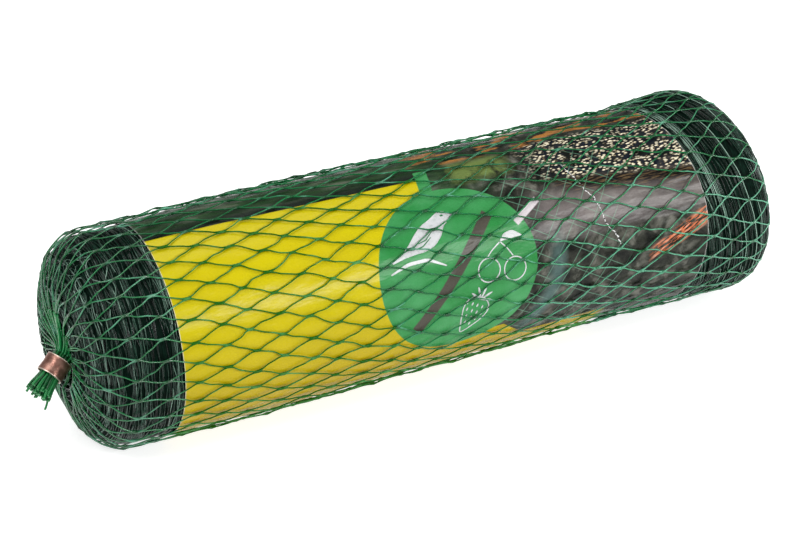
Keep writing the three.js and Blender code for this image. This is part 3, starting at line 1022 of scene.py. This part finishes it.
def make_sleeve(material):
    paths, count, share, angle, x = sleeve_paths()
    knot = bump(count - np.round(count), 0, 0.10)
    radius = STRAND_RADIUS * (0.83 + 1.0 * knot * (1 - share) + 0.12 * share)
    radius = radius * (1 + 0.08 * ripple(count * 13, 30 * angle, 61, 6, 20))
    tone = 0.6 + 0.35 * ripple(count * 13, 20 * angle, 62, 6, 60) - 0.9 * knot
    # Painted highlight: pale marks where the strands take a pale highlight colour, on the front of the
    # label's right half and not on the knots.
    pale = smooth(5, 85, x) * bump(wrap(angle + 0.05), 0, 0.75) - 0.8 * knot
    fresh = 0.15 + 0.75 * share * (0.6 + 0.4 * np.sin(np.arange(2 * CELLS) * 1.7)[:, None])
    past_start = smooth(LABEL_START - 1, LABEL_START + 1, x)
    over_label = past_start * smooth(label_end(angle) + 1, label_end(angle) - 1, x)
    # Where the strands lie over the yellow print, their colour is painted with yellow light showing through
    # them.
    yellow = over_label * over_yellow(x, LABEL_RADIUS * wrap(angle))
    values = {"tone": np.clip(tone, 0, 1), "fresh": np.clip(fresh, 0, 1), "pale": np.clip(pale, 0, 1),
              "over_yellow": yellow, "dulled": 0.72 * over_label + 0.28 * yellow}
    hands = {"net_strands_right_hand": slice(0, CELLS), "net_strands_left_hand": slice(CELLS, None)}
    for name, rows in hands.items():
        piece = tubes(name, paths[rows], radius[rows], material, 6,
                      {key: value[rows] for key, value in values.items()})
        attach(piece, "pack")
        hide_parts("net_sleeve")
    return paths, angle


# ---- Gathered ends ----------------------------------------------------------------------------------

def end_axes(end):
    """The neck's centre, the way the gathered end points, and two directions across it."""
    side = 1 if end == "rear" else -1
    centre = NECK_CENTRE * np.array([side, side, 1])
    lean = np.array([math.cos(NECK_SIDE) * math.cos(NECK_DROOP), math.sin(NECK_SIDE),
                     -math.cos(NECK_SIDE) * math.sin(NECK_DROOP)])
    ahead = lean * np.array([side, side, 1])
    up = unit(np.array([0, 0, 1.0]) - ahead[2] * ahead)
    level = np.cross(ahead, up)
    if level[1] > 0:
        level = -level
    return centre, ahead, level, up


def slots(angle):
    """A place in the round bundle for each strand, on the side that it comes from."""
    golden = (np.arange(len(angle)) * 0.618034) % 1
    order = np.argsort(np.argsort(angle))
    depth = np.sqrt(0.04 + 0.96 * golden[order])
    return BUNDLE_RADIUS * depth


def make_gather(end, starts, before, angle, net, tail_paint):
    centre, ahead, level, up = end_axes(end)
    crossed = angle
    if end == "front":
        # The strands on the far side stay crossed, because nothing draws them into ropes.
        hand = np.repeat([1, -1], CELLS)
        crossed = angle + 0.55 * hand * (clump_degrees(angle) > FRONT_CLUMPS[-1][1])
    spread = slots(crossed % (2 * math.pi))
    outward = np.cos(crossed)[:, None] * level + np.sin(crossed)[:, None] * up
    bundle = centre + BUNDLE_START * ahead + spread[:, None] * outward
    neck_strands(end, centre, starts, before, bundle, ahead, angle, net)
    closure_strands(end, centre, ahead, level, up, spread, outward, tail_paint)


def neck_strands(end, centre, starts, before, bundle, ahead, angle, net):
    """The stretch from the roll's end into the clip, in six sectors.

    Each strand is two pieces that meet halfway, one by the roll and one by the clip.
    """
    share = np.linspace(0, 1, 17)[None, :, None]
    inward = unit(starts - before)
    away = np.sign(centre[0])
    sides = np.stack([0 * angle, -np.cos(angle), np.sin(angle)], 1)
    under = np.clip(sides @ unit(ahead * np.array([0, 1, 1])), 0, 1)[:, None]
    span = np.linalg.norm(bundle - starts, axis=1, keepdims=True)
    # Strands on the side that the neck leans to first run into the dimple, clear of the clip.
    dip = 11 if end == "front" else 17
    leave = 0.7 * span * inward - np.array([away, 0, 0]) * (0.5 + dip * under)
    arrive = (9 + 6 * under) * ahead
    h1 = 2 * share ** 3 - 3 * share ** 2 + 1
    h2 = share ** 3 - 2 * share ** 2 + share
    h3 = -2 * share ** 3 + 3 * share ** 2
    h4 = share ** 3 - share ** 2
    paths = h1 * starts[:, None] + h2 * leave[:, None] + h3 * bundle[:, None] + h4 * arrive[:, None]
    rope = bump(wrap(angle - math.radians(88)), 0, 0.30)[:, None] if end == "front" else 0 * span
    tone = np.clip(0.5 + 0.5 * np.sin(np.arange(len(starts)) * 2.1)[:, None] + 0.8 * rope, 0, 1)
    sector = np.floor((angle % (2 * math.pi)) / (math.pi / 3)).astype(int)
    for number in range(6):
        rows = sector == number
        middle = (number + 0.5) * math.pi / 3
        outward = np.array([0, -math.cos(middle), math.sin(middle)])
        reach = (paths[rows] - centre) @ outward
        thick = STRAND_RADIUS * (0.8 if end == "front" and number in (2, 3, 4) else 1.12) + 0.2 * rope[rows]
        typical = np.median(reach, axis=0)
        halfway = int(np.argmin(np.abs(typical - 0.58 * typical[0])))
        far = reach[:, halfway].max() + 0.1
        near = reach[:, halfway].min() - 0.1
        neck_start = max(reach[:, 0].min() - 0.4, far + 1)
        bundle_finish = min(max(reach[:, -1].max() + 0.2, 0.75 * near), near - 0.8)
        parts = [
            ("neck", slice(0, halfway + 1), "pack", f"{end}_neck", neck_start, far),
            ("bundle", slice(halfway, None), f"{end}_neck", f"{end}_closure", near, bundle_finish),
        ]
        for part, points, from_body, to_body, start, finish in parts:
            piece = tubes(f"{end}_{part}_strands_{number + 1}", paths[rows][:, points], thick, net, 6,
                          {"tone": tone[rows], "fresh": 0.8})
            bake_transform(piece)
            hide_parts(f"{end}_neck")


def closure_strands(end, centre, ahead, level, up, spread, outward, paint):
    """The bundle through the clip and the brush of cut strands beyond it."""
    source = np.random.default_rng(7 if end == "front" else 8)
    count = len(spread)
    share = np.linspace(0, 1, 34)[None]
    finish = source.uniform(TAIL_END - 4.6, TAIL_END - 0.8, (count, 1))
    finish[source.integers(0, count)] = TAIL_END + 1.2
    reach = BUNDLE_START + (finish - BUNDLE_START) * share
    clip_end = CLIP_START + CLIP_LENGTH
    free = np.clip((reach - clip_end + 0.5) / (TAIL_END - clip_end), 0, 1.3)
    fan = 1 + 0.46 * free ** 1.1
    wander = source.normal(0, 1, (count, 2))
    sway = 0.65 * free[:, :, None] ** 1.6 * (wander[:, :1, None] * level + wander[:, 1:, None] * up)
    kink = 0.25 * np.sin(reach * 0.9 + source.uniform(0, 6, (count, 1)))[:, :, None] * free[:, :, None] * up
    across = (spread[:, None] * fan)[:, :, None] * outward[:, None]
    paths = centre + reach[:, :, None] * ahead + across + sway + kink
    paths = paths - np.array([0, 0, 1.0]) * 0.9 * free[:, :, None] ** 2
    thick = STRAND_RADIUS * (1.2 + 0.22 * free) * source.uniform(0.85, 1.2, (count, 1))
    tone = source.uniform(0, 1, (count, 1)) ** 0.8
    values = {"tone": np.broadcast_to(tone, reach.shape), "cut": np.broadcast_to(share > 0.985, reach.shape)}
    piece = tubes(f"{end}_tail_strands", paths, thick, paint, 6, values)
    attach(piece, f"{end}_closure")
    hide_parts(f"{end}_tail")


def make_clip(end, material):
    """A metal strip rolled once round the bundle, its end lapped over its start, with worn bright rims."""
    centre, ahead, level, up = end_axes(end)
    sweep = 2 * math.pi + 0.6
    growth = (CLIP_WALL + 0.12) / (2 * math.pi)
    around = 120
    lengthwise = 30
    turns = np.linspace(0, sweep, around)[:, None]
    share = np.linspace(0, 1, lengthwise)[None]
    reach = CLIP_START + CLIP_LENGTH * share
    rim = np.minimum(share, 1 - share) * CLIP_LENGTH
    press = 0.10 * ripple(turns * 5, reach, 71, 6, 9)
    press = press + 0.16 * bump(share, 0.5, 0.16) - 0.10 * (1 - smooth(0, 1.1, rim))
    angle = math.radians(205) + turns
    direction = np.cos(angle)[..., None] * level + np.sin(angle)[..., None] * up
    rounding = 0.12 * (1 - smooth(0, 0.35, rim))
    points = []
    for wall, eased in ((CLIP_WALL, -rounding), (0, rounding)):
        radius = CLIP_INNER_RADIUS + growth * turns - press + wall + eased
        layer = centre + reach[..., None] * ahead + radius[..., None] * direction
        points.append(layer.reshape(-1, 3))
    faces = film_faces(around, lengthwise)
    worn = 1 - smooth(0.15, 0.55, np.broadcast_to(rim, (around, lengthwise)))
    values = {"edge": np.tile(worn.ravel(), 2)}
    piece = make_object(f"{end}_clip_strip", np.vstack(points), [faces], material, values)
    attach(piece, f"{end}_closure")
    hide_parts(f"{end}_clip")


# ---- Making everything ------------------------------------------------------------------------------

make_camera()
make_studio()
wound_layers(wound_material())
wound_threads(thread_material())
make_label(label_material())
make_pictograms(ink_material(), feather_material())
net = net_material()
tail_paint = tail_material()
strand_paths, strand_angles = make_sleeve(net)
for end, last, before in (("front", 0, 1), ("rear", -1, -2)):
    make_gather(end, strand_paths[:, last], strand_paths[:, before], strand_angles[:, last], net, tail_paint)
copper = copper_material()
for end in ("front", "rear"):
    make_clip(end, copper)
